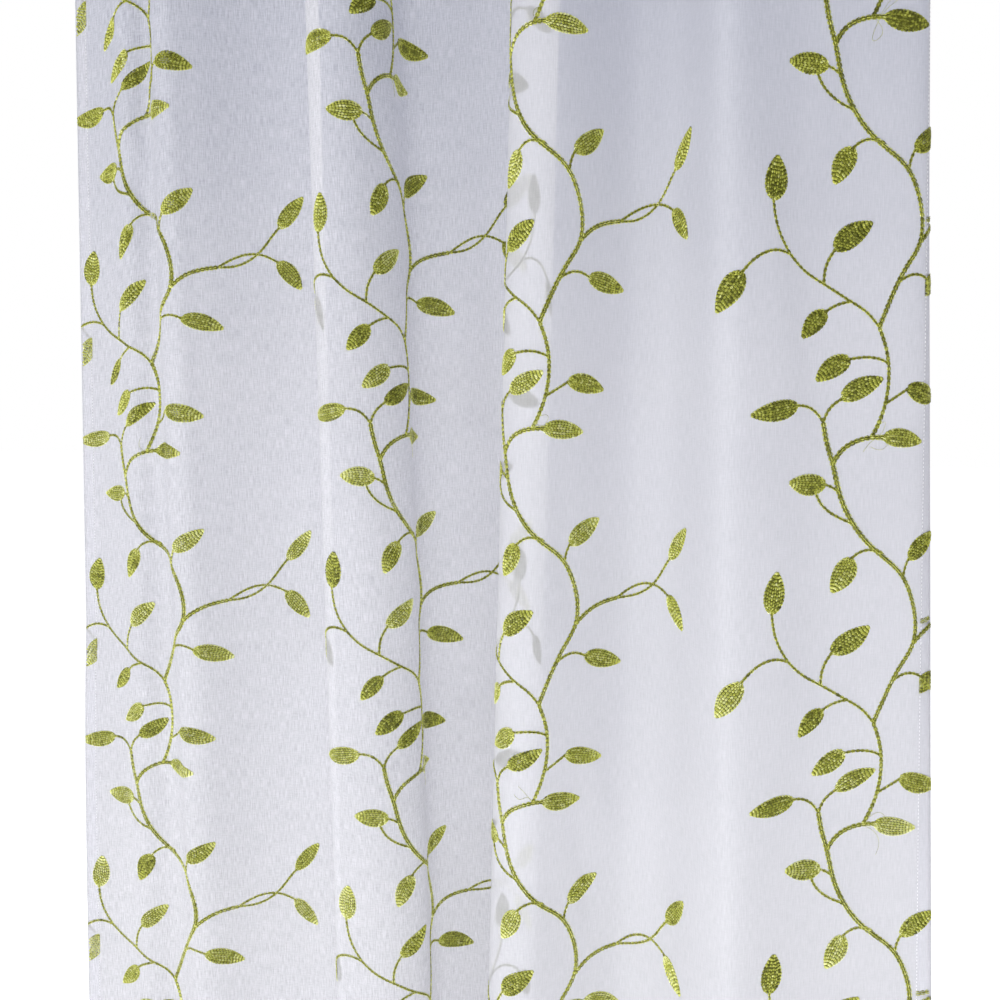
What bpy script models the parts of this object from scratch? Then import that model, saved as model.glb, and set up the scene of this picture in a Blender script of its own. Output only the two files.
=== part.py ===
"""Sheer voile curtain panel, hanging in soft uneven folds.

One piece of cloth, cut straight and gathered a little across its top edge. The cloth keeps its
flat width at every height: each level is a smooth plan line through the fold rows below, and
the cloth is laid along that line by its length.

Frame: the origin is the middle of the top edge, +X runs along the top edge, +Y points away
from the room side, +Z is up. The hem hangs at -DROP.
"""

import bpy
import numpy as np

# Driving sizes, in metres
FLAT_WIDTH = 1.236
DROP = 1.372
THICKNESS = 0.0016
MM = 0.001

# Mesh resolution of the sheet
COLUMNS = 136
LEVELS = 14
LINE_SAMPLES = 900

# Plan line of the cloth at the top edge and at the hem, from the left side edge to the right one.
# across = along +X, back = along +Y, both in millimetres.
FOLD_ROWS = (
    # name             across_top  back_top  across_hem  back_hem
    ("left_edge",          -408,       58,       -430,       31),
    ("edge_slope",         -365,       43,       -374,       28),
    ("edge_crest",         -334,       26,       -349,       24),
    ("edge_hollow",        -316,       34,       -319,       29),
    ("first_ridge",        -284,        4,       -277,       16),
    ("first_flank",        -232,       42,       -226,       43),
    ("first_turn",         -147,       61,       -131,       50),
    ("second_front",       -136,        3,       -118,        9),
    ("second_ridge",       -104,      -14,        -65,       -4),
    ("second_flank",        -74,       17,        -25,       23),
    ("second_step",         -68,       77,        -31,       71),
    ("second_hollow",       -45,       88,         24,      110),
    ("second_rise",          27,       76,         55,       95),
    ("turn_out",             93,       71,         70,       63),
    ("turn_back",            94,       16,         65,       13),
    ("third_front",          75,      -33,         42,      -27),
    ("third_ridge",         109,      -56,         67,      -59),
    ("third_flank",         143,      -30,        121,      -27),
    ("third_hollow",        179,       12,        174,        9),
    ("third_rise",          220,      -22,        221,      -25),
    ("fourth_ridge",        249,      -74,        282,      -71),
    ("fourth_flank",        311,      -40,        342,      -37),
    ("right_front",         404,       -8,        443,       -8),
    ("right_edge",          407,       15,        465,      -10),
)


def natural_spline(knots, values, places):
    """Natural cubic spline through values at knots, read at places."""
    steps = np.diff(knots)
    count = len(knots)
    system = np.zeros((count, count))
    right = np.zeros(count)
    system[0, 0] = 1.0
    system[-1, -1] = 1.0
    for row in range(1, count - 1):
        system[row, row - 1] = steps[row - 1]
        system[row, row] = 2.0 * (steps[row - 1] + steps[row])
        system[row, row + 1] = steps[row]
        rise_after = (values[row + 1] - values[row]) / steps[row]
        rise_before = (values[row] - values[row - 1]) / steps[row - 1]
        right[row] = 6.0 * (rise_after - rise_before)
    bends = np.linalg.solve(system, right)
    span = np.clip(np.searchsorted(knots, places, side="right") - 1, 0, count - 2)
    width = steps[span]
    before = (knots[span + 1] - places) / width
    after = (places - knots[span]) / width
    curve = before * values[span] + after * values[span + 1]
    curve += ((before**3 - before) * bends[span] + (after**3 - after) * bends[span + 1]) * width**2 / 6.0
    return curve


def plan_line(down):
    """Plan line at a depth below the top edge, 0 to 1 of the drop: across, back and running length."""
    top = np.array([row[1:3] for row in FOLD_ROWS], dtype=float)
    hem = np.array([row[3:5] for row in FOLD_ROWS], dtype=float)
    points = (top + (hem - top) * down) * MM
    chords = np.hypot(*np.diff(points, axis=0).T)
    knots = np.concatenate(([0.0], np.cumsum(np.sqrt(chords))))
    places = np.linspace(0.0, knots[-1], LINE_SAMPLES)
    across = natural_spline(knots, points[:, 0], places)
    back = natural_spline(knots, points[:, 1], places)
    length = np.concatenate(([0.0], np.cumsum(np.hypot(np.diff(across), np.diff(back)))))
    return across, back, length


def hang(flat_shares, down):
    """Points of one level of the cloth, for places given as shares of the flat width."""
    across, back, length = plan_line(down)
    along = flat_shares * length[-1]
    level = np.empty((len(flat_shares), 3))
    level[:, 0] = np.interp(along, length, across)
    level[:, 1] = np.interp(along, length, back)
    level[:, 2] = -down * DROP
    return level


def cloth_material(name):
    """Plain woven voile: white with a cool cast, matt."""
    material = bpy.data.materials.new(name)
    material.use_nodes = True
    shader = material.node_tree.nodes["Principled BSDF"]
    shader.inputs["Base Color"].default_value = (0.80, 0.82, 0.88, 1.0)
    shader.inputs["Roughness"].default_value = 0.9
    shader.inputs["Metallic"].default_value = 0.0
    return material


def curtain_panel(collection):
    """The one-piece panel: a flat grid hung level by level along the plan lines, then thickened."""
    bpy.ops.mesh.primitive_grid_add(x_subdivisions=COLUMNS, y_subdivisions=LEVELS, size=1.0)
    panel = bpy.context.active_object
    panel.name = "curtain_panel"
    panel.data.name = "curtain_panel"
    for held in list(panel.users_collection):
        held.objects.unlink(panel)
    collection.objects.link(panel)
    flat = np.empty(len(panel.data.vertices) * 3)
    panel.data.vertices.foreach_get("co", flat)
    flat = flat.reshape(-1, 3)
    hung = np.empty_like(flat)
    downs = np.round(0.5 - flat[:, 1], 6)
    for down in np.unique(downs):
        chosen = downs == down
        hung[chosen] = hang(flat[chosen, 0] + 0.5, down)
    panel.data.vertices.foreach_set("co", hung.ravel())
    panel.data.update()
    panel.data.shade_smooth()
    thicken = panel.modifiers.new("cloth_thickness", "SOLIDIFY")
    thicken.thickness = THICKNESS
    thicken.offset = 0.0
    panel.data.materials.append(cloth_material("sheer_voile"))
    return panel


for old in list(bpy.data.objects):
    bpy.data.objects.remove(old, do_unlink=True)
curtain = bpy.data.collections.new("sheer_voile_curtain")
bpy.context.scene.collection.children.link(curtain)
curtain_panel(curtain)
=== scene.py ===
import math

import bpy
import numpy as np
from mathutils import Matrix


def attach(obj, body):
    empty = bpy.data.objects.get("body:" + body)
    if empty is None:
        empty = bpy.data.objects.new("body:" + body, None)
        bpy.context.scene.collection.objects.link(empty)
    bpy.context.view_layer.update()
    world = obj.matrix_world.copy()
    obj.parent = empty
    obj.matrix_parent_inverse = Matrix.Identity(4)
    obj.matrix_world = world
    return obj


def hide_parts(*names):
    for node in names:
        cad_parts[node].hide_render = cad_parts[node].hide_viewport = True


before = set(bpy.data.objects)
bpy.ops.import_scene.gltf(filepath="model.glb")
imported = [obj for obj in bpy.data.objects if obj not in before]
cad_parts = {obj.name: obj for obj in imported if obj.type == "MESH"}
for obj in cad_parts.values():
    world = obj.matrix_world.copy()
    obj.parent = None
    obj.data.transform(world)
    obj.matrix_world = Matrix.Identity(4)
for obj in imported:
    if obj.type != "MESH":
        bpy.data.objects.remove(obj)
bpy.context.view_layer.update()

# ---------------------------------------------------------------------------------------------
# Panel: one length of plain woven polyester voile with a slubby, linen-like yarn, so thin that
# one layer is half see-through and layers that overlap turn white. It is cut straight, its four
# edges are turned twice to the back, and it hangs from its top edge in a few soft, uneven folds.
# ---------------------------------------------------------------------------------------------
MM = 0.001
FLAT_WIDTH = 1236.0
DROP = 1372.0

# Plan line of the cloth at the top edge and at the hem, from the left side edge to the right one.
# across = along +X, back = along +Y, both in millimetres. The CAD panel hangs on the same line.
FOLD_ROWS = (
    # name             across_top  back_top  across_hem  back_hem
    ("left_edge",          -408,       58,       -430,       31),
    ("edge_slope",         -365,       43,       -374,       28),
    ("edge_crest",         -334,       26,       -349,       24),
    ("edge_hollow",        -316,       34,       -319,       29),
    ("first_ridge",        -284,        4,       -277,       16),
    ("first_flank",        -232,       42,       -226,       43),
    ("first_turn",         -147,       61,       -131,       50),
    ("second_front",       -136,        3,       -118,        9),
    ("second_ridge",       -104,      -14,        -65,       -4),
    ("second_flank",        -74,       17,        -25,       23),
    ("second_step",         -68,       77,        -31,       71),
    ("second_hollow",       -45,       88,         24,      110),
    ("second_rise",          27,       76,         55,       95),
    ("turn_out",             93,       71,         70,       63),
    ("turn_back",            94,       16,         65,       13),
    ("third_front",          75,      -33,         42,      -27),
    ("third_ridge",         109,      -56,         67,      -59),
    ("third_flank",         143,      -30,        121,      -27),
    ("third_hollow",        179,       12,        174,        9),
    ("third_rise",          220,      -22,        221,      -25),
    ("fourth_ridge",        249,      -74,        282,      -71),
    ("fourth_flank",        311,      -40,        342,      -37),
    ("right_front",         404,       -8,        443,       -8),
    ("right_edge",          407,       15,        465,      -10),
)
LINE_SAMPLES = 900

# Small creases in the hanging cloth, as soft ridges (+) and troughs (-), in flat millimetres.
CREASE_ROWS = (
    # from_across  from_down  to_across  to_down  half_width  height
    (52, 190, 122, 330, 8, 2.6),
    (74, 240, 142, 420, 7, -2.0),
    (46, 120, 96, 200, 8, -2.2),
    (100, 170, 128, 270, 6, 1.8),
    (40, 300, 88, 470, 9, 1.8),
    (66, 430, 112, 540, 8, -1.6),
    (92, 520, 140, 660, 8, 1.6),
    (44, 560, 100, 720, 9, -1.5),
    (60, 760, 112, 900, 9, 1.4),
    (88, 900, 130, 1010, 8, -1.2),
    (415, 190, 470, 250, 9, 1.2),
    (396, 560, 452, 640, 10, -1.2),
    (800, 250, 836, 420, 10, 1.2),
    (838, 560, 860, 760, 12, -1.2),
    (874, 820, 904, 980, 12, 1.6),
    (849, 860, 884, 1040, 10, -1.5),
    (894, 900, 942, 1010, 9, 1.2),
    (1042, 520, 1046, 1330, 9, 1.3),
    (1086, 300, 1092, 900, 26, 3.5),
    (126, 10, 139, 760, 11, 4.2),
    (160, 10, 172, 760, 14, -2.4),
    (134, 600, 146, 1250, 9, 3.0),
    (212, 10, 226, 1300, 44, 3.5),
    (470, 10, 476, 1350, 25, 6.0),
    (908, 20, 914, 1340, 44, 3.6),
    (830, 60, 832, 1340, 26, -1.6),
    (1124, 20, 1128, 1340, 52, 3.6),
    (0, 760, 0, 1450, 45, 7.0),
    (700, 60, 726, 420, 9, 1.4),
    (1150, 120, 1110, 420, 12, 1.4),
    (640, 120, 668, 330, 8, 1.2),
    (1070, 300, 1120, 620, 16, 1.5),
)

# Places where the weave is pulled out of true: the cloth slides within its own surface.
DRIFT_ROWS = (
    # across  down  reach_across  reach_down  slide_across  slide_down
    (20, 290, 72, 400, 0, 25),
    (95, 560, 45, 260, -10, 0),
    (160, 1130, 60, 260, 0, -7),
    (1185, 640, 60, 330, 9, 0),
)
DRIFT_EDGE = 60.0

SURFACE_ACROSS = 1.5
SURFACE_DOWN = 6.0


def natural_spline(knots, values, places):
    """Natural cubic spline through values at knots, read at places."""
    steps = np.diff(knots)
    count = len(knots)
    system = np.zeros((count, count))
    right = np.zeros(count)
    system[0, 0] = 1.0
    system[-1, -1] = 1.0
    for row in range(1, count - 1):
        system[row, row - 1] = steps[row - 1]
        system[row, row] = 2.0 * (steps[row - 1] + steps[row])
        system[row, row + 1] = steps[row]
        rise_after = (values[row + 1] - values[row]) / steps[row]
        rise_before = (values[row] - values[row - 1]) / steps[row - 1]
        right[row] = 6.0 * (rise_after - rise_before)
    bends = np.linalg.solve(system, right)
    span = np.clip(np.searchsorted(knots, places, side="right") - 1, 0, count - 2)
    width = steps[span]
    before = (knots[span + 1] - places) / width
    after = (places - knots[span]) / width
    curve = before * values[span] + after * values[span + 1]
    bend = (before**3 - before) * bends[span] + (after**3 - after) * bends[span + 1]
    curve += bend * width**2 / 6.0
    return curve


def plan_line(down):
    """Plan line at a depth from 0, the top edge, to 1, the hem: across, back and running length."""
    top = np.array([row[1:3] for row in FOLD_ROWS], dtype=float)
    hem = np.array([row[3:5] for row in FOLD_ROWS], dtype=float)
    points = (top + (hem - top) * down) * MM
    chords = np.hypot(*np.diff(points, axis=0).T)
    knots = np.concatenate(([0.0], np.cumsum(np.sqrt(chords))))
    places = np.linspace(0.0, knots[-1], LINE_SAMPLES)
    across = natural_spline(knots, points[:, 0], places)
    back = natural_spline(knots, points[:, 1], places)
    length = np.concatenate(([0.0], np.cumsum(np.hypot(np.diff(across), np.diff(back)))))
    return across, back, length


def face_normals(grid):
    """Unit normals of a grid of points, on the side that faces the room."""
    along = np.gradient(grid, axis=1)
    downward = np.gradient(grid, axis=0)
    normal = np.cross(downward, along)
    return normal / np.linalg.norm(normal, axis=2, keepdims=True)


flat_across = np.linspace(0.0, FLAT_WIDTH, int(FLAT_WIDTH / SURFACE_ACROSS) + 1)
flat_down = np.linspace(0.0, DROP, int(DROP / SURFACE_DOWN) + 1)
spread_across, spread_down = np.meshgrid(flat_across, flat_down)
slid_across = spread_across.copy()
slid_down = spread_down.copy()
clear_of_ends = np.clip(np.minimum(spread_down, DROP - spread_down) / DRIFT_EDGE, 0.0, 1.0)
from_side = np.minimum(spread_across, FLAT_WIDTH - spread_across)
clear_of_sides = np.clip(from_side / DRIFT_EDGE, 0.0, 1.0)
for across, down, reach_across, reach_down, slide_across, slide_down in DRIFT_ROWS:
    aside_share = (spread_across - across) / reach_across
    down_share = (spread_down - down) / reach_down
    share = np.exp(-(aside_share**2) - down_share**2)
    slid_across += slide_across * share * clear_of_sides
    slid_down += slide_down * share * clear_of_ends
level_lines = np.empty((len(flat_down), len(flat_across), 2))
for level, down in enumerate(flat_down / DROP):
    line_across, line_back, line_length = plan_line(down)
    along = slid_across[level] / FLAT_WIDTH * line_length[-1]
    level_lines[level, :, 0] = np.interp(along, line_length, line_across)
    level_lines[level, :, 1] = np.interp(along, line_length, line_back)
hung = np.empty((len(flat_down), len(flat_across), 3))
for column in range(len(flat_across)):
    for axis in (0, 1):
        hung[:, column, axis] = np.interp(slid_down[:, column], flat_down, level_lines[:, column, axis])
hung[:, :, 2] = -slid_down * MM
relief = np.zeros_like(spread_across)
for from_across, from_down, to_across, to_down, half_width, height in CREASE_ROWS:
    run = np.array([to_across - from_across, to_down - from_down], dtype=float)
    reach = np.hypot(*run)
    run /= reach
    beyond = (spread_across - from_across) * run[0] + (spread_down - from_down) * run[1]
    aside = (spread_across - from_across) * run[1] - (spread_down - from_down) * run[0]
    fade = np.clip(1.0 - np.abs(2.0 * beyond / reach - 1.0) ** 3, 0.0, 1.0)
    relief += height * fade * np.exp(-((aside / half_width) ** 2))
hung += face_normals(hung) * relief[:, :, None] * MM
hung_normals = face_normals(hung)


def on_cloth(across, down):
    """Point and room-side normal of the hanging cloth at flat places, in mm from its top left."""
    column = np.clip(across / FLAT_WIDTH, 0.0, 1.0) * (len(flat_across) - 1)
    level = np.clip(down / DROP, 0.0, 1.0) * (len(flat_down) - 1)
    left = np.minimum(column.astype(int), len(flat_across) - 2)
    above = np.minimum(level.astype(int), len(flat_down) - 2)
    part_right = (column - left)[..., None]
    part_below = (level - above)[..., None]
    found = []
    for field in (hung, hung_normals):
        upper = field[above, left] * (1 - part_right) + field[above, left + 1] * part_right
        lower = field[above + 1, left] * (1 - part_right) + field[above + 1, left + 1] * part_right
        found.append(upper * (1 - part_below) + lower * part_below)
    return found


# Hems, each turned twice to the back, in millimetres. The raw edge ends an inset short of the
# outer fold, each turn is rounded over a short way, and the gaps keep the turned layers apart.
SIDE_HEM = 15.0
TOP_HEM = 38.0
BOTTOM_HEM = 44.0
HEM_INSET = 1.0
TURN = 0.5
SIDE_GAP = 0.6
LEVEL_GAP = 2.0


def turned(place, size, hem_start, hem_end, gap):
    """Folds both ends of the cloth to the back twice: place seen from the front, depth behind the
    face, and the side that shows, 1 for the face and -1 for the wrong side."""
    seen = np.clip(place, 0.0, size)
    behind = np.zeros_like(seen)
    facing = np.ones_like(seen)
    for hem, past in ((hem_start, -place), (hem_end, place - size)):
        path = np.array([0.0, TURN, hem - TURN, hem, hem + TURN, 2 * hem - HEM_INSET])
        seen_path = np.array([0.0, 0.0, hem - TURN, hem, hem - TURN, HEM_INSET])
        behind_path = np.array([0.0, gap, gap, 0.75 * gap, 0.5 * gap, 0.5 * gap])
        facing_path = np.array([1.0, -1.0, -1.0, 0.0, 1.0, 1.0])
        beyond = past > 0
        inward = np.interp(past, path, seen_path)
        seen = np.where(beyond, np.where(place < 0, inward, size - inward), seen)
        behind = np.where(beyond, np.interp(past, path, behind_path), behind)
        facing = np.where(beyond, np.interp(past, path, facing_path), facing)
    return seen, behind, facing


def lay(across, down, lift):
    """World points, in metres, for places on the cut cloth, hems included, lifted off its face."""
    seen_across, side_behind, side_facing = turned(across, FLAT_WIDTH, SIDE_HEM, SIDE_HEM, SIDE_GAP)
    seen_down, level_behind, level_facing = turned(down, DROP, TOP_HEM, BOTTOM_HEM, LEVEL_GAP)
    point, normal = on_cloth(seen_across, seen_down)
    height = -level_behind + level_facing * (-side_behind + side_facing * lift)
    return point + normal * (height * MM)[..., None]


def linear(hex_colour):
    """An sRGB hex colour as the linear colour that a shader takes."""
    shares = [int(hex_colour[place:place + 2], 16) / 255 for place in (0, 2, 4)]
    return (*[share / 12.92 if share <= 0.04045 else ((share + 0.055) / 1.055) ** 2.4
              for share in shares], 1.0)


def node(tree, kind, inputs=None, **settings):
    """Adds a shader node with its settings; an input is a value, or an output socket to link from."""
    made = tree.nodes.new(kind)
    for name, value in settings.items():
        setattr(made, name, value)
    for name, value in (inputs or {}).items():
        socket = made.inputs[name]
        if kind == "ShaderNodeMix" and name in ("A", "B"):
            socket = next(side for side in made.inputs if side.name == name and side.type == "RGBA")
        if isinstance(value, bpy.types.NodeSocket):
            tree.links.new(value, socket)
        else:
            socket.default_value = value
    return made


def new_material(name):
    """An empty node material and its output."""
    material = bpy.data.materials.new(name)
    material.use_nodes = True
    material.node_tree.nodes.clear()
    output = material.node_tree.nodes.new("ShaderNodeOutputMaterial")
    return material, material.node_tree, output


# Share of the voile that yarn covers, share of the yarn that glows through, and the slubs: cells
# of the pattern per metre across and down, and their swing. They even out towards the right.
VOILE_COVER = 0.50
YARN_WHITE = "ECECF1"
YARN_GLOW = 0.3
UPRIGHT_SLUBS = ((1150.0, 80.0, 1.0), 0.10)
LEVEL_SLUBS = ((130.0, 1150.0, 1.0), 0.05)
CLOUDS = ((7.0, 5.0, 1.0), 0.02)
SLUBBY_TO = 0.5
EVEN_FROM = 0.8
SLUBBY_STRENGTH = 1.25
EVEN_STRENGTH = 0.4


def voile_material():
    """Polyester voile, woven: white yarn with a cool cast, and open gaps between threads that show
    what lies behind. Slubs make fine uneven upright streaks and fainter level ones. Real threads
    of about 0.3 mm would be too fine to show, so the pattern's cells are drawn 0.9 mm wide."""
    material, tree, output = new_material("sheer_voile_woven")
    flat = node(tree, "ShaderNodeUVMap", uv_map="flat_mm")
    covers = []
    for scale, swing in (UPRIGHT_SLUBS, LEVEL_SLUBS, CLOUDS):
        place = node(tree, "ShaderNodeMapping", {"Vector": flat.outputs[0], "Scale": scale})
        slub = node(tree, "ShaderNodeTexNoise", {"Vector": place.outputs[0], "Scale": 1.0,
                                                 "Detail": 2.0, "Roughness": 0.6},
                    noise_dimensions="2D")
        covers.append(node(tree, "ShaderNodeMapRange", {"Value": slub.outputs[0], "From Min": 0.25,
                                                        "From Max": 0.75, "To Min": -swing,
                                                        "To Max": swing}))
    slubs = node(tree, "ShaderNodeMath", {0: covers[0].outputs[0], 1: covers[1].outputs[0]},
                 operation="ADD")
    flat_axes = node(tree, "ShaderNodeSeparateXYZ", {0: flat.outputs[0]})
    evenness = node(tree, "ShaderNodeMapRange", {"Value": flat_axes.outputs["X"],
                                                 "From Min": SLUBBY_TO, "From Max": EVEN_FROM,
                                                 "To Min": SLUBBY_STRENGTH, "To Max": EVEN_STRENGTH})
    threads = node(tree, "ShaderNodeMath", {0: slubs.outputs[0], 1: evenness.outputs[0]},
                   operation="MULTIPLY")
    cloud = node(tree, "ShaderNodeMath", {0: covers[2].outputs[0], 1: VOILE_COVER}, operation="ADD")
    cover = node(tree, "ShaderNodeMath", {0: threads.outputs[0], 1: cloud.outputs[0]},
                 operation="ADD", use_clamp=True)
    yarn = node(tree, "ShaderNodeBsdfPrincipled", {"Base Color": linear(YARN_WHITE),
                                                   "Roughness": 0.85, "Specular IOR Level": 0.3})
    glow = node(tree, "ShaderNodeBsdfTranslucent", {"Color": linear(YARN_WHITE)})
    cloth = node(tree, "ShaderNodeMixShader", {0: YARN_GLOW, 1: yarn.outputs[0], 2: glow.outputs[0]})
    gaps = node(tree, "ShaderNodeBsdfTransparent")
    sheer = node(tree, "ShaderNodeMixShader", {0: cover.outputs[0], 1: gaps.outputs[0],
                                               2: cloth.outputs[0]})
    tree.links.new(sheer.outputs[0], output.inputs["Surface"])
    return material


PANEL_COLUMNS = 309
PANEL_LEVELS = 98


def hem_places(size, hem_start, hem_end, steps):
    """Grid places on the cut cloth: close together at the turns of the hems, even between them."""
    start = [-2 * hem_start + HEM_INSET, -hem_start - TURN, -hem_start, -hem_start + TURN]
    start += [-hem_start / 2, -TURN, -TURN / 2]
    end = [size + TURN / 2, size + TURN, size + hem_end / 2, size + hem_end - TURN]
    end += [size + hem_end, size + hem_end + TURN, size + 2 * hem_end - HEM_INSET]
    return np.concatenate((start, np.linspace(0.0, size, steps + 1), end))


def clear_selection():
    """Leaves nothing selected or active, so that an operator acts only on what is added next."""
    bpy.ops.object.select_all(action="DESELECT")
    bpy.context.view_layer.objects.active = None


places_across = hem_places(FLAT_WIDTH, SIDE_HEM, SIDE_HEM, PANEL_COLUMNS)
places_down = hem_places(DROP, TOP_HEM, BOTTOM_HEM, PANEL_LEVELS)
clear_selection()
bpy.ops.mesh.primitive_grid_add(x_subdivisions=len(places_across) - 1,
                                y_subdivisions=len(places_down) - 1, size=2.0)
panel = bpy.context.active_object
panel.name = "voile_panel"
corners = np.empty(len(panel.data.vertices) * 3)
panel.data.vertices.foreach_get("co", corners)
corners = corners.reshape(-1, 3)
column = np.rint((corners[:, 0] + 1) / 2 * (len(places_across) - 1)).astype(int)
row = np.rint((1 - corners[:, 1]) / 2 * (len(places_down) - 1)).astype(int)
cut_across = places_across[column]
cut_down = places_down[row]
panel.data.vertices.foreach_set("co", lay(cut_across, cut_down, np.zeros_like(cut_across)).ravel())
for old_map in list(panel.data.uv_layers):
    panel.data.uv_layers.remove(old_map)
flat_map = panel.data.uv_layers.new(name="flat_mm")
loop_corner = np.empty(len(panel.data.loops), dtype=int)
panel.data.loops.foreach_get("vertex_index", loop_corner)
flat_places = np.stack((cut_across, -cut_down), axis=1) * MM
flat_map.data.foreach_set("uv", flat_places[loop_corner].ravel())
panel.data.update()
panel.data.shade_smooth()
panel.data.materials.append(voile_material())
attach(panel, "root")
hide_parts("curtain_panel")

# ---------------------------------------------------------------------------------------------
# Vine embroidery: trailing stems and pointed leaves worked in chain stitch with two-ply rayon
# thread, before the panel was hemmed. Stalks are one row of chain, stems two rows side by side,
# and each leaf is filled with rows that run side by side from its base to its tip.
# ---------------------------------------------------------------------------------------------
REPEAT_DOWN = 340.0
# The tone and the tone per repeat are painted light: each column is painted a little darker or lighter,
# and each repeat lower down a little lighter, as the light falls on the panel.
COLUMN_ROWS = (
    # name      across  down   painted light  painted light per repeat
    ("first",       70,   254,   0.03,  0.045),
    ("second",     431,   238,  -0.04,  0.060),
    ("third",      782,   226,   0.02,  0.025),
    ("fourth",    1138,   232,  -0.12,  0.075),
)

# One repeat, in millimetres from where the arched stalk leaves the main stem: across and down.
STEM_ROWS = (
    # name            rows  spacing  points
    ("main",             2, 1.9, ((-8, -35), (-5, -18), (0, 0), (5, 23), (17, 52), (38, 77), (61, 95),
                                  (73, 116), (78, 138), (76, 156), (63, 176), (49, 200), (37, 226))),
    ("lower",            2, 1.1, ((37, 226), (44, 246), (46, 268), (42, 292), (31, 318))),
    ("arch",             2, 1.6, ((0, 0), (8, -12), (19, -19), (31, -22), (42, -22))),
    ("twig",             1, 0.0, ((37, 226), (27, 214), (14, 205), (-8, 191), (-26, 180), (-39, 168))),
    ("twig_up",          1, 0.0, ((-39, 168), (-48, 154), (-53, 140), (-55, 124))),
    ("twig_out",         1, 0.0, ((-39, 168), (-50, 165), (-62, 167), (-73, 174), (-82, 184))),
    ("branch",           2, 1.6, ((76, 156), (88, 146), (105, 139), (122, 136))),
    ("branch_over",      1, 0.0, ((122, 136), (138, 127), (154, 122), (169, 123), (184, 130))),
    ("branch_under",     1, 0.0, ((122, 136), (141, 134), (156, 127), (170, 114), (179, 102), (186, 94))),
    ("pair_stalk",       1, 0.0, ((4, 23), (-2, 19), (-8, 17))),
    ("pair_loop",        1, 0.0, ((16, 51), (2, 44), (-10, 33), (-15, 22))),
    ("inner_stalk",      1, 0.0, ((42, 77), (32, 74), (22, 76), (15, 82))),
    ("upper_right",      1, 0.0, ((64, 97), (66, 88), (70, 81))),
    ("twig_stalk_up",    1, 0.0, ((-8, 191), (-6, 176), (2, 162))),
    ("twig_stalk_down",  1, 0.0, ((14, 205), (3, 208), (-7, 214))),
    ("droop_stalk",      1, 0.0, ((46, 256), (36, 252), (24, 251), (11, 253))),
    ("lower_right",      1, 0.0, ((44, 289), (55, 283), (66, 277))),
    ("middle_right",     1, 0.0, ((55, 189), (67, 183), (78, 183), (87, 187))),
    ("fork_left",        1, 0.0, ((-8, 305), (-14, 297), (-22, 292), (-33, 291))),
    ("fork_right",       1, 0.0, ((-8, 305), (-3, 294), (8, 285))),
)
LEAF_ROWS = (
    # name         base_across  base_down  tip_across  tip_down  width
    ("pair",               -7,        17,        -40,       15,     20),
    ("inner",              15,        82,          0,      111,     20),
    ("upper_right",        70,        81,        101,       60,     19),
    ("branch_high",       186,        94,        211,       64,     17),
    ("branch_low",        184,       130,        207,      157,     18),
    ("middle_right",       87,       187,        127,      197,     19),
    ("twig_top",          -55,       124,        -50,       89,     22),
    ("twig_end",          -82,       184,       -103,      216,     20),
    ("twig_inner",          2,       162,         32,      140,     20),
    ("twig_under",         -7,       214,        -28,      236,     17),
    ("droop",              12,       252,        -15,      271,     19),
    ("lower_right",        66,       277,        105,      285,     19),
    ("fork_left",         -33,       291,        -75,      299,     19),
    ("fork_right",          8,       285,         41,      268,     18),
    ("arch_end",           42,       -22,         82,      -18,     18),
)

# Stitches, in millimetres: lengths, spacing of the rows in a leaf, widths of a link, half the
# thickness of a strand and heights off the cloth. Overlap, flatness and lean are shares.
LEAF_STITCH = 3.1
STEM_STITCH = 4.2
ROW_WIDTH = 2.08
LINK_WIDTH = 2.45
STEM_WIDTH = 3.7
STRAND = 0.6
STEM_LIFT = 0.5
STITCH_TILT = 0.14
STITCH_OVERLAP = 1.06
STRAND_FLATNESS = 0.9
LINK_LEAN = 0.3
PATH_SAMPLES = 160
STRAND_SIDES = 3
STRAND_RINGS = 3


def smooth_path(points):
    """A smooth line through a stem's points, sampled close together."""
    points = np.array(points, dtype=float)
    chords = np.hypot(*np.diff(points, axis=0).T)
    knots = np.concatenate(([0.0], np.cumsum(chords)))
    places = np.linspace(0.0, knots[-1], PATH_SAMPLES)
    return np.stack([natural_spline(knots, points[:, axis], places) for axis in (0, 1)], axis=1)


def stitch_row(path, stitch, width, lift, tone):
    """Chain stitches along a path: rows of centre, direction, half length, half width, lift and tone."""
    length = np.concatenate(([0.0], np.cumsum(np.hypot(*np.diff(path, axis=0).T))))
    count = max(2, round(length[-1] / stitch))
    ends = np.linspace(0.0, length[-1], count + 1)
    knots = np.stack([np.interp(ends, length, path[:, axis]) for axis in (0, 1)], axis=1)
    centres = (knots[1:] + knots[:-1]) / 2
    runs = (knots[1:] - knots[:-1]) / 2
    half = np.hypot(*runs.T)
    runs /= half[:, None]
    rows = np.empty((count, 8))
    rows[:, 0:2] = centres
    rows[:, 2:4] = runs
    rows[:, 4] = half * STITCH_OVERLAP
    rows[:, 5] = width / 2
    rows[:, 6] = lift
    rows[:, 7] = tone
    return rows


def stem_stitches(chain_rows, spacing, points, tone):
    """One or two rows of chain stitch along a stem."""
    path = smooth_path(points)
    run = np.gradient(path, axis=0)
    run /= np.hypot(*run.T)[:, None]
    aside = np.stack((run[:, 1], -run[:, 0]), axis=1)
    offsets = (np.arange(chain_rows) - (chain_rows - 1) / 2) * spacing
    return [stitch_row(path + aside * offset, STEM_STITCH, STEM_WIDTH, STEM_LIFT, tone)
            for offset in offsets]
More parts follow.
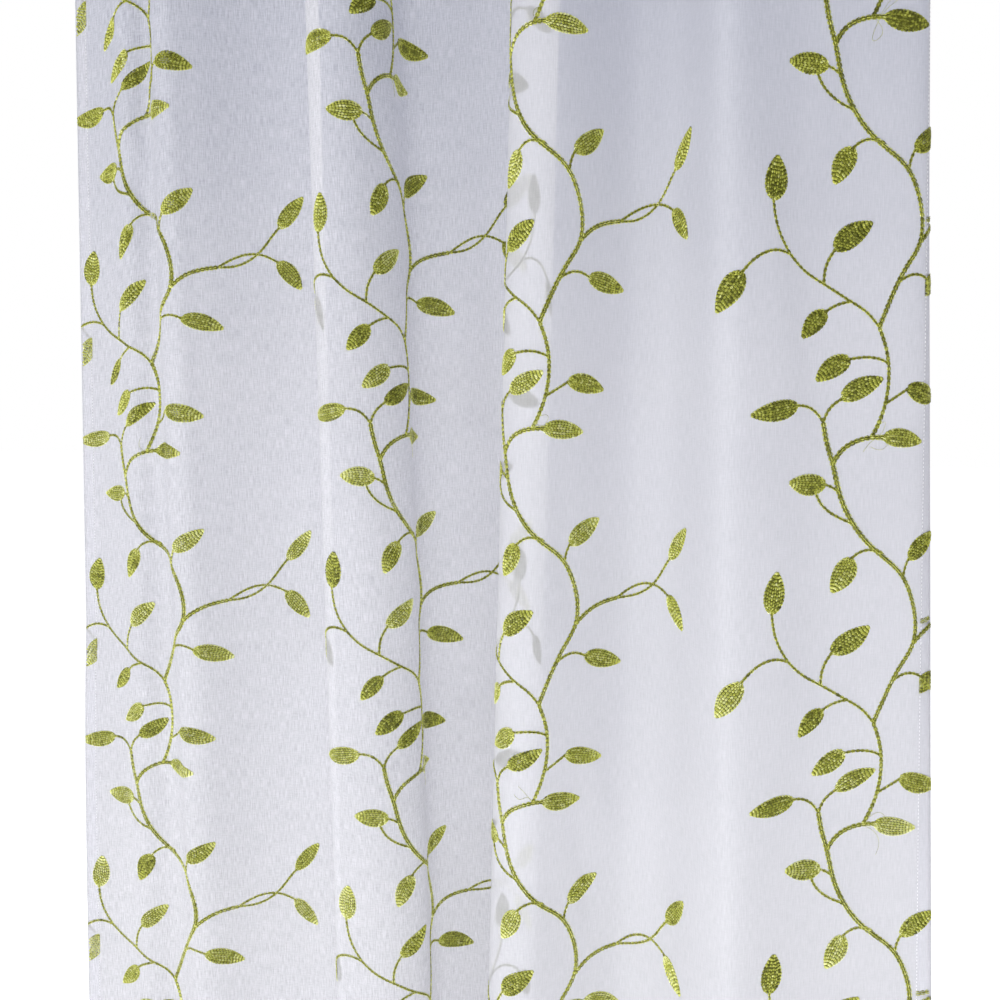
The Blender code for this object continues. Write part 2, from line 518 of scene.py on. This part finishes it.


# Leaves: outline powers at the base and the tip, run-in under the stalk, height at the rim and
# rise to the midrib in millimetres, share left free at each end, and every other row's tone, which
# is painted shade between the rows.
BASE_SWELL = 0.62
TIP_SWELL = 0.86
WIDEST_AT = BASE_SWELL / (BASE_SWELL + TIP_SWELL)
LEAF_RUN_IN = 2.0
LEAF_LIFT = 0.5
LEAF_RISE = 0.35
LEAF_END = 0.02
LEAF_SAMPLES = 40
FEWEST_ROWS = 3
NARROWEST_LINK = 0.4
ROW_SHADE = -0.1


def leaf_axes(base, tip):
    """A leaf's starting point, moved back onto its stalk, its length, and its unit axes."""
    base = np.array(base, dtype=float)
    reach = np.array(tip, dtype=float) - base
    forward = reach / np.hypot(*reach)
    start = base - forward * LEAF_RUN_IN
    return start, np.hypot(*reach) + LEAF_RUN_IN, forward, np.array([forward[1], -forward[0]])


def leaf_swell(share):
    """Half width of a leaf at a share of its length, 1 at the widest: round base, pointed tip."""
    most = WIDEST_AT**BASE_SWELL * (1 - WIDEST_AT) ** TIP_SWELL
    return share**BASE_SWELL * (1 - share) ** TIP_SWELL / most


def leaf_stitches(base, tip, width, bend, loose, tone):
    """Rows of chain stitch side by side from a leaf's base to its tip, bowed as its outline is."""
    start, length, forward, aside = leaf_axes(base, tip)
    spread = (width - LINK_WIDTH) / 2
    row_count = max(FEWEST_ROWS, round(2 * spread / (ROW_WIDTH * loose)) + 1)
    rows = []
    for part in np.linspace(-1.0, 1.0, row_count):
        stagger = len(rows) % 2
        first_share = LEAF_END + 0.5 * stagger * LEAF_STITCH / length
        share = np.linspace(first_share, 1 - LEAF_END, LEAF_SAMPLES)
        reach = bend * np.sin(math.pi * share) + part * spread * leaf_swell(share)
        path = start + (share * length)[:, None] * forward + reach[:, None] * aside
        # Every other row is painted a shade darker: painted shade between the rows.
        row = stitch_row(path, LEAF_STITCH, LINK_WIDTH, LEAF_LIFT + LEAF_RISE * (1 - abs(part)),
                         tone + ROW_SHADE * stagger)
        swell = leaf_swell((row[:, 0:2] - start) @ forward / length)
        row[:, 5] *= NARROWEST_LINK + (1 - NARROWEST_LINK) * swell
        rows.append(row)
    return rows


def ball(segments, rings):
    """Points and faces of a low round ball, which is stretched into strands and leaf grounds."""
    clear_selection()
    bpy.ops.mesh.primitive_uv_sphere_add(segments=segments, ring_count=rings, radius=1.0)
    made = bpy.context.active_object
    points = np.array([corner.co for corner in made.data.vertices])
    faces = [list(face.vertices) for face in made.data.polygons]
    bpy.data.objects.remove(made, do_unlink=True)
    return points, faces


strand_points, strand_faces = ball(STRAND_SIDES, STRAND_RINGS)


def joined_copies(name, points, faces, tones):
    """One mesh from many copies of a ball: points as (copies, corners, 3), with a tone for each copy."""
    copies, corner_count = points.shape[:2]
    totals = np.tile([len(face) for face in faces], copies)
    loops = np.concatenate([np.array(face) for face in faces])
    corners = (np.arange(copies)[:, None] * corner_count + loops[None, :]).ravel()
    mesh = bpy.data.meshes.new(name)
    mesh.vertices.add(copies * corner_count)
    mesh.vertices.foreach_set("co", points.astype(np.float32).ravel())
    mesh.loops.add(len(corners))
    mesh.loops.foreach_set("vertex_index", corners.astype(np.int32))
    mesh.polygons.add(len(totals))
    starts = np.concatenate(([0], np.cumsum(totals)[:-1]))
    mesh.polygons.foreach_set("loop_start", starts.astype(np.int32))
    mesh.update(calc_edges=True)
    mesh.validate()
    tone = mesh.attributes.new("tone", "FLOAT", "POINT")
    tone.data.foreach_set("value", np.repeat(tones, corner_count).astype(np.float32))
    mesh.shade_smooth()
    made = bpy.data.objects.new(name, mesh)
    bpy.context.scene.collection.objects.link(made)
    return made


def within_cloth(across, down, margin):
    """Tells which places lie on the cut cloth, its turned hems included, clear of its cut edges."""
    kept = (across > -2 * SIDE_HEM + margin) & (across < FLAT_WIDTH + 2 * SIDE_HEM - margin)
    return kept & (down > -2 * TOP_HEM + margin) & (down < DROP + 2 * BOTTOM_HEM - margin)


def stitch_mesh(name, stitches):
    """Chain stitches as pairs of bowed strands that meet at both ends, laid on the cloth."""
    side_reach, lift_reach, along_reach = strand_points.T
    bow = (1.0 - along_reach**2) * (1.0 + LINK_LEAN * along_reach)
    legs = []
    for side in (-1.0, 1.0):
        along = along_reach[None, :] * stitches[:, 4:5]
        aside = side * bow[None, :] * (stitches[:, 5:6] - STRAND) + side_reach[None, :] * STRAND
        lift = stitches[:, 6:7] + lift_reach[None, :] * STRAND * STRAND_FLATNESS
        lift = lift + STITCH_TILT * along_reach[None, :]
        across = stitches[:, 0:1] + along * stitches[:, 2:3] + aside * stitches[:, 3:4]
        down = stitches[:, 1:2] + along * stitches[:, 3:4] - aside * stitches[:, 2:3]
        legs.append(lay(across, down, lift))
    return joined_copies(name, np.concatenate(legs), strand_faces, np.tile(stitches[:, 7], 2))


# Grounds under the stitches: the thread that fills a leaf or a stem under and between its rows, in
# a deep olive that is painted shade between the rows. In millimetres: a leaf's inset, half thickness
# and height, and the radius, height and run of the core in a stem. A straight run laps over the next
# by a share.
GROUND_INSET = 1.1
GROUND_LIFT = 0.5
GROUND_RISE = 0.1
GROUND_SIDES = 14
GROUND_RINGS = 4
CORE_STEP = 5.6
CORE_RADIUS = 1.5
CORE_LIFT = 0.05
RUN_OVERLAP = 1.5
FLATTEST = 0.55
RUN_TONE = 0.3
ground_points, ground_faces = ball(GROUND_SIDES, GROUND_RINGS)


def ground_mesh(name, leaves):
    """Leaf grounds, the thread that fills a leaf between and under its rows, painted deep olive as
    painted shade between the rows: one thin lens each.
    """
    along_reach, side_reach, lift_reach = ground_points.T
    level_half = np.sqrt(np.maximum(1.0 - along_reach**2, 1e-9))
    points = []
    for base, tip, width, bend in leaves:
        start, length, forward, aside_axis = leaf_axes(base, tip)
        share = 0.5 + along_reach * (0.5 - GROUND_INSET / length)
        half = (width / 2 - GROUND_INSET) * leaf_swell(share)
        aside = bend * np.sin(math.pi * share) + half * side_reach / level_half
        place = start + (share * length)[:, None] * forward + aside[:, None] * aside_axis
        points.append(lay(place[:, 0], place[:, 1], GROUND_LIFT * lift_reach + GROUND_RISE))
    return joined_copies(name, np.array(points), ground_faces, np.zeros(len(leaves)))


def thread_material(name, stops, roughness, fleck_scale, swing):
    """Two-ply rayon embroidery thread, leaf green, with soft gloss along the strands. Its tone runs from
    deep olive to yellow green: the olive where stitches crowd together is painted shade, and the tone
    is also painted lighter lower down, as painted light."""
    material, tree, output = new_material(name)
    tone = node(tree, "ShaderNodeAttribute", attribute_name="tone")
    place = node(tree, "ShaderNodeTexCoord")
    fleck = node(tree, "ShaderNodeTexNoise", {"Vector": place.outputs["Object"], "Scale": fleck_scale,
                                              "Detail": 2.0})
    fleck_tone = node(tree, "ShaderNodeMapRange", {"Value": fleck.outputs[0], "From Min": 0.3,
                                                   "From Max": 0.7, "To Min": -swing, "To Max": swing})
    total = node(tree, "ShaderNodeMath", {0: tone.outputs["Fac"], 1: fleck_tone.outputs[0]},
                 operation="ADD", use_clamp=True)
    greens = node(tree, "ShaderNodeValToRGB", {0: total.outputs[0]})
    ramp = greens.color_ramp.elements
    ramp[0].position, ramp[0].color = stops[0][0], linear(stops[0][1])
    ramp[1].position, ramp[1].color = stops[-1][0], linear(stops[-1][1])
    for position, colour in stops[1:-1]:
        ramp.new(position).color = linear(colour)
    thread = node(tree, "ShaderNodeBsdfPrincipled", {"Base Color": greens.outputs[0],
                                                     "Roughness": roughness,
                                                     "Specular IOR Level": 0.5})
    tree.links.new(thread.outputs[0], output.inputs["Surface"])
    return material


def thread_lengths(name, runs, radii, lift, overlap):
    """Straight lengths of thread from rows of both ends, each a spindle that laps over the next."""
    side_reach, lift_reach, along_reach = strand_points.T
    middle = (runs[:, 0:2] + runs[:, 2:4]) / 2
    half = (runs[:, 2:4] - runs[:, 0:2]) / 2
    radius = np.broadcast_to(radii, len(runs))[:, None]
    aside = half / np.hypot(*half.T)[:, None] * radius
    across = middle[:, 0:1] + along_reach * half[:, 0:1] * overlap + side_reach * aside[:, 1:2]
    down = middle[:, 1:2] + along_reach * half[:, 1:2] * overlap - side_reach * aside[:, 0:1]
    height = lift + lift_reach * np.minimum(radius, FLATTEST)
    return joined_copies(name, lay(across, down, height), strand_faces, np.full(len(runs), RUN_TONE))


def path_runs(path, step):
    """A path cut into equal runs of about a step: rows of both ends."""
    length = np.concatenate(([0.0], np.cumsum(np.hypot(*np.diff(path, axis=0).T))))
    ends = np.linspace(0.0, length[-1], max(2, round(length[-1] / step) + 1))
    knots = np.stack([np.interp(ends, length, path[:, axis]) for axis in (0, 1)], axis=1)
    return np.concatenate((knots[:-1], knots[1:]), axis=1)


# Tones run from 0, deep olive, to 1, pale yellow green. Leaves differ a little in width, bend,
# tightness and tone; tighter leaves are painted darker, as painted shade of crowded stitches. What
# is worked stops short of the cut edge of the cloth by a margin.
STEM_TONE = 0.42
LEAF_TONE = 0.5
CROWDING_SHADE = 2.0
LEAF_TONE_SWING = 0.1
STITCH_TONE_SWING = 0.12
LEAF_WIDTHS = (0.92, 1.03)
LEAF_BEND = 1.5
LOOSENESS = (0.98, 1.12)
EVEN_LOOSENESS = 1.05
STITCH_MARGIN = 2.0
CORE_MARGIN = 6.0
GROUND_MARGIN = 10.0
THREAD_STOPS = ((0.0, "585B00"), (0.5, "C4C850"), (1.0, "F4F6BC"))
# The packed thread of the grounds is painted deep olive: painted shade between and under the rows.
PACKED_SHADE_STOPS = ((0.0, "4C4F00"), (1.0, "A6A83C"))
thread_look = thread_material("rayon_embroidery_thread", THREAD_STOPS, roughness=0.42,
                              fleck_scale=420.0, swing=0.3)
shaded_ground_look = thread_material("rayon_thread_packed_shade", PACKED_SHADE_STOPS, roughness=0.7,
                              fleck_scale=700.0, swing=0.5)
pick = np.random.default_rng(7)
for column_name, column_across, column_down, column_painted_light, painted_light_step in COLUMN_ROWS:
    stems = []
    cores = []
    leaves = []
    grounds = []
    repeats = range(-1, int((DROP + 2 * BOTTOM_HEM - column_down) / REPEAT_DOWN) + 2)
    for repeat in repeats:
        shift = np.array([column_across, column_down + REPEAT_DOWN * repeat])
        # Painted light: this column's and this repeat's tone, lighter lower down, stands in for how the
        # light falls.
        repeat_painted_light = column_painted_light + painted_light_step * repeat
        for _, chain_rows, spacing, points in STEM_ROWS:
            for stitches in stem_stitches(chain_rows, spacing, points, STEM_TONE + repeat_painted_light):
                stitches[:, 0:2] += shift
                stems.append(stitches)
            runs = path_runs(smooth_path(points) + shift, CORE_STEP)
            cores.append(np.column_stack((runs, np.full(len(runs), CORE_RADIUS + spacing / 2))))
        for _, base_across, base_down, tip_across, tip_down, width in LEAF_ROWS:
            base = shift + (base_across, base_down)
            tip = shift + (tip_across, tip_down)
            size = width * pick.uniform(*LEAF_WIDTHS)
            bend = pick.uniform(-LEAF_BEND, LEAF_BEND)
            loose = pick.uniform(*LOOSENESS)
            # Tighter leaves are painted darker: painted shade of crowded stitches.
            tone = LEAF_TONE + repeat_painted_light + (loose - EVEN_LOOSENESS) * CROWDING_SHADE
            tone += pick.uniform(-LEAF_TONE_SWING, LEAF_TONE_SWING)
            leaves.extend(leaf_stitches(base, tip, size, bend, loose, tone))
            if within_cloth(*((base + tip) / 2), GROUND_MARGIN):
                grounds.append((base, tip, size, bend))
    made = []
    for part, rows in (("stems", stems), ("leaves", leaves)):
        stitches = np.concatenate(rows)
        stitches = stitches[within_cloth(stitches[:, 0], stitches[:, 1], STITCH_MARGIN)]
        stitches[:, 7] += pick.normal(0.0, STITCH_TONE_SWING, len(stitches))
        made.append(stitch_mesh(f"{column_name}_vine_{part}", stitches))
        made[-1].data.materials.append(thread_look)
    made.append(ground_mesh(f"{column_name}_leaf_shade_grounds", grounds))
    cores = np.concatenate(cores)
    cores = cores[within_cloth(cores[:, 0], cores[:, 1], CORE_MARGIN)]
    made.append(thread_lengths(f"{column_name}_stem_shade_grounds", cores[:, 0:4], cores[:, 4],
                               CORE_LIFT, RUN_OVERLAP))
    for ground in made[2:]:
        ground.data.materials.append(shaded_ground_look)
    for piece in made:
        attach(piece, "root")

# ---------------------------------------------------------------------------------------------
# Thread tails: loose ends of the embroidery thread, 2 to 6 cm long, left curling on the face
# where one chain ends on the next arch. They are single strands, finer than the stitches.
# ---------------------------------------------------------------------------------------------
TAIL_ROWS = (
    # column    repeat  points from the arch junction, across and down
    ("second",  1, ((30, -23), (40, -17), (47, -9), (50, 1))),
    ("second",  0, ((30, -23), (36, -14), (37, -4))),
    ("second",  2, ((31, -22), (42, -18), (50, -10), (53, 0))),
    ("third",   1, ((30, -24), (36, -32), (45, -33), (41, -25), (33, -27))),
    ("third",   2, ((30, -24), (24, -32), (18, -38))),
    ("third",   2, ((31, -23), (26, -28), (19, -26), (14, -30))),
    ("third",   0, ((33, -22), (30, -30), (38, -34))),
    ("fourth",  0, ((33, -20), (38, -8), (31, -3), (33, -14), (42, -28), (52, -36))),
    ("fourth",  0, ((36, -22), (44, -34), (56, -42), (63, -38))),
    ("fourth",  1, ((33, -22), (36, -32), (42, -35), (40, -27), (30, -18), (24, -10))),
    ("fourth",  1, ((35, -20), (45, -17), (40, -12), (30, -14))),
    ("fourth",  2, ((33, -20), (42, -14), (46, -5), (43, 6))),
    ("fourth",  2, ((31, -22), (38, -30), (47, -32), (52, -26), (45, -22))),
    ("first",   1, ((30, -22), (24, -30), (26, -38))),
    ("first",   2, ((31, -21), (38, -28), (37, -36))),
)
TAIL_STEP = 1.5
TAIL_RADIUS = 0.22
TAIL_LIFT = 0.9
tails = []
for column_name, repeat, points in TAIL_ROWS:
    _, column_across, column_down, _, _ = next(row for row in COLUMN_ROWS if row[0] == column_name)
    path = smooth_path(points) + (column_across, column_down + REPEAT_DOWN * repeat)
    tails.append(path_runs(path, TAIL_STEP))
loose_ends = thread_lengths("thread_tails", np.concatenate(tails), TAIL_RADIUS, TAIL_LIFT,
                            RUN_OVERLAP)
loose_ends.data.materials.append(thread_look)
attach(loose_ends, "root")

# ---------------------------------------------------------------------------------------------
# Hem stitching: white lockstitch in polyester thread, one row through all three layers, just
# inside the inner fold of each side hem, of the top hem and of the bottom hem.
# ---------------------------------------------------------------------------------------------
LOCKSTITCH = 3.4
STITCH_SHOWN = 0.72
STITCH_START = 0.14
STITCH_FROM_FOLD = 1.6
ROW_END = 2.0
SEWING_RADIUS = 0.28
SEWING_LIFT = 0.15


def lockstitch_row(start, end):
    """Short straight stitches with gaps, from a start to an end on the flat cloth."""
    start = np.array(start, dtype=float)
    run = np.array(end, dtype=float) - start
    count = int(np.hypot(*run) / LOCKSTITCH)
    first = (np.arange(count) + STITCH_START) / count
    last = first + STITCH_SHOWN / count
    return np.concatenate((start + first[:, None] * run, start + last[:, None] * run), axis=1)


left_row = SIDE_HEM - STITCH_FROM_FOLD
right_row = FLAT_WIDTH - left_row
top_row = TOP_HEM - STITCH_FROM_FOLD
bottom_row = DROP - BOTTOM_HEM + STITCH_FROM_FOLD
hem_rows = np.concatenate([lockstitch_row(*ends) for ends in (
    ((left_row, ROW_END), (left_row, DROP - ROW_END)),
    ((right_row, ROW_END), (right_row, DROP - ROW_END)),
    ((ROW_END, top_row), (FLAT_WIDTH - ROW_END, top_row)),
    ((ROW_END, bottom_row), (FLAT_WIDTH - ROW_END, bottom_row)))])
hem_thread = thread_lengths("hem_stitching", hem_rows, SEWING_RADIUS, SEWING_LIFT, 1.0)


def sewing_thread_material():
    """Spun polyester sewing thread, white and matt, a little denser to the eye than the voile."""
    material, tree, output = new_material("polyester_sewing_thread")
    place = node(tree, "ShaderNodeTexCoord")
    twist = node(tree, "ShaderNodeTexNoise", {"Vector": place.outputs["Object"], "Scale": 900.0})
    tint = node(tree, "ShaderNodeMapRange", {"Value": twist.outputs[0], "To Min": 0.86, "To Max": 0.96})
    thread = node(tree, "ShaderNodeBsdfPrincipled", {"Base Color": tint.outputs[0], "Roughness": 0.75})
    tree.links.new(thread.outputs[0], output.inputs["Surface"])
    return material


hem_thread.data.materials.append(sewing_thread_material())
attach(hem_thread, "root")

# ---------------------------------------------------------------------------------------------
# Stage: a plain pale floor below the hem and soft studio light. What is seen past the cloth is
# white; what is seen through its open weave is a dim room, darker high up than low down.
# ---------------------------------------------------------------------------------------------
FLOOR_DOWN = 1.52
FLOOR_SIZE = 24.0
FLOOR_FAR = 0.08
FLOOR_NEAR = 0.55
FLOOR_GLOW = 0.8
PAST_THE_WEAVE = 0.5  # the transparent depth over which a ray has gone through the voile
FILL_STRENGTH = 0.25
ROOM_HIGH = "7A8098"
ROOM_LEVEL = "A3A4B0"
ROOM_LOW = "ABABB2"
ROOM_HEIGHT = 0.32
clear_selection()
bpy.ops.mesh.primitive_plane_add(size=FLOOR_SIZE, location=(0.0, 0.0, -FLOOR_DOWN))
floor = bpy.context.active_object
floor.name = "floor"
floor_material, floor_tree, floor_output = new_material("pale_floor")
floor_path = node(floor_tree, "ShaderNodeLightPath")
floor_seen = node(floor_tree, "ShaderNodeMath", {0: floor_path.outputs["Transparent Depth"],
                                                 1: PAST_THE_WEAVE}, operation="GREATER_THAN")
floor_white = node(floor_tree, "ShaderNodeBsdfDiffuse", {"Color": linear("FAFAFA")})
floor_lift = node(floor_tree, "ShaderNodeEmission", {"Color": linear("FFFFFF"),
                                                     "Strength": FLOOR_GLOW})
floor_direct = node(floor_tree, "ShaderNodeAddShader", {0: floor_white.outputs[0],
                                                        1: floor_lift.outputs[0]})
floor_place = node(floor_tree, "ShaderNodeTexCoord")
floor_axes = node(floor_tree, "ShaderNodeSeparateXYZ", {0: floor_place.outputs["Object"]})
floor_back = node(floor_tree, "ShaderNodeMath", {0: floor_axes.outputs["Y"]}, operation="ABSOLUTE")
floor_reach = node(floor_tree, "ShaderNodeMath", {0: floor_back.outputs[0], 1: 1.0}, operation="ADD")
floor_near = node(floor_tree, "ShaderNodeMath", {0: 1.0, 1: floor_reach.outputs[0]}, operation="DIVIDE")
floor_share = node(floor_tree, "ShaderNodeMapRange", {"Value": floor_near.outputs[0],
                                                      "From Min": FLOOR_FAR, "From Max": FLOOR_NEAR})
floor_tones = node(floor_tree, "ShaderNodeMix", {"Factor": floor_share.outputs[0],
                                                 "A": linear(ROOM_LEVEL), "B": linear(ROOM_LOW)},
                   data_type="RGBA")
floor_dim = node(floor_tree, "ShaderNodeEmission", {"Color": floor_tones.outputs[2]})
floor_mix = node(floor_tree, "ShaderNodeMixShader", {0: floor_seen.outputs[0],
                                                     1: floor_direct.outputs[0],
                                                     2: floor_dim.outputs[0]})
floor_tree.links.new(floor_mix.outputs[0], floor_output.inputs["Surface"])
floor.data.materials.append(floor_material)

world = bpy.data.worlds.new("studio")
bpy.context.scene.world = world
world.use_nodes = True
world_tree = world.node_tree
world_tree.nodes.clear()
world_output = world_tree.nodes.new("ShaderNodeOutputWorld")
world_path = node(world_tree, "ShaderNodeLightPath")
through = node(world_tree, "ShaderNodeMath", {0: world_path.outputs["Transparent Depth"],
                                              1: PAST_THE_WEAVE}, operation="GREATER_THAN")
plain = node(world_tree, "ShaderNodeBackground", {"Color": linear("FFFFFF"), "Strength": 1.0})
sky_place = node(world_tree, "ShaderNodeTexCoord")
sky_axes = node(world_tree, "ShaderNodeSeparateXYZ", {0: sky_place.outputs["Generated"]})
sky_share = node(world_tree, "ShaderNodeMapRange", {"Value": sky_axes.outputs["Z"], "From Min": 0.0,
                                                    "From Max": ROOM_HEIGHT})
sky_tones = node(world_tree, "ShaderNodeMix", {"Factor": sky_share.outputs[0],
                                               "A": linear(ROOM_LEVEL), "B": linear(ROOM_HIGH)},
                 data_type="RGBA")
dim = node(world_tree, "ShaderNodeBackground", {"Color": sky_tones.outputs[2], "Strength": 1.0})
fill = node(world_tree, "ShaderNodeBackground", {"Color": linear("F8F8FF"),
                                                 "Strength": FILL_STRENGTH})
camera_sees = node(world_tree, "ShaderNodeMixShader", {0: through.outputs[0], 1: plain.outputs[0],
                                                       2: dim.outputs[0]})
world_mix = node(world_tree, "ShaderNodeMixShader", {0: world_path.outputs["Is Camera Ray"],
                                                     1: fill.outputs[0], 2: camera_sees.outputs[0]})
world_tree.links.new(world_mix.outputs[0], world_output.inputs["Surface"])


def soft_light(name, place, aim, size, power):
    """A large square studio light at a place, turned towards a point."""
    data = bpy.data.lights.new(name, "AREA")
    data.size = size
    data.energy = power
    lamp = bpy.data.objects.new(name, data)
    bpy.context.scene.collection.objects.link(lamp)
    lamp.location = place
    reach = np.array(aim) - np.array(place)
    yaw = math.atan2(reach[1], reach[0]) - math.pi / 2
    tilt = math.atan2(reach[2], math.hypot(reach[0], reach[1])) + math.pi / 2
    lamp.rotation_euler = (tilt, 0.0, yaw)
    lamp.visible_camera = False
    return lamp


soft_light("key", place=(-2.0, -1.5, -1.3), aim=(0.0, 0.0, -0.7), size=0.7, power=35.0)
soft_light("low", place=(0.4, -1.3, -1.42), aim=(0.05, 0.0, -0.95), size=0.8, power=20.5)
soft_light("back", place=(0.4, 2.2, 1.2), aim=(0.1, 0.0, -0.4), size=2.0, power=46.0)

CAMERA_PLACE = (0.278, -0.974, -0.50)
CAMERA_AZIMUTH = 13.0
CAMERA_PITCH = -6.5
CAMERA_ANGLE = 50.0
MOST_LAYERS = 32
camera_data = bpy.data.cameras.new("camera")
camera_data.angle = math.radians(CAMERA_ANGLE)
camera = bpy.data.objects.new("camera", camera_data)
camera.location = CAMERA_PLACE
camera.rotation_euler = (math.radians(90.0 + CAMERA_PITCH), 0.0, math.radians(CAMERA_AZIMUTH))
bpy.context.scene.collection.objects.link(camera)
bpy.context.scene.camera = camera
bpy.context.scene.view_settings.view_transform = "Standard"
bpy.context.scene.cycles.transparent_max_bounces = MOST_LAYERS
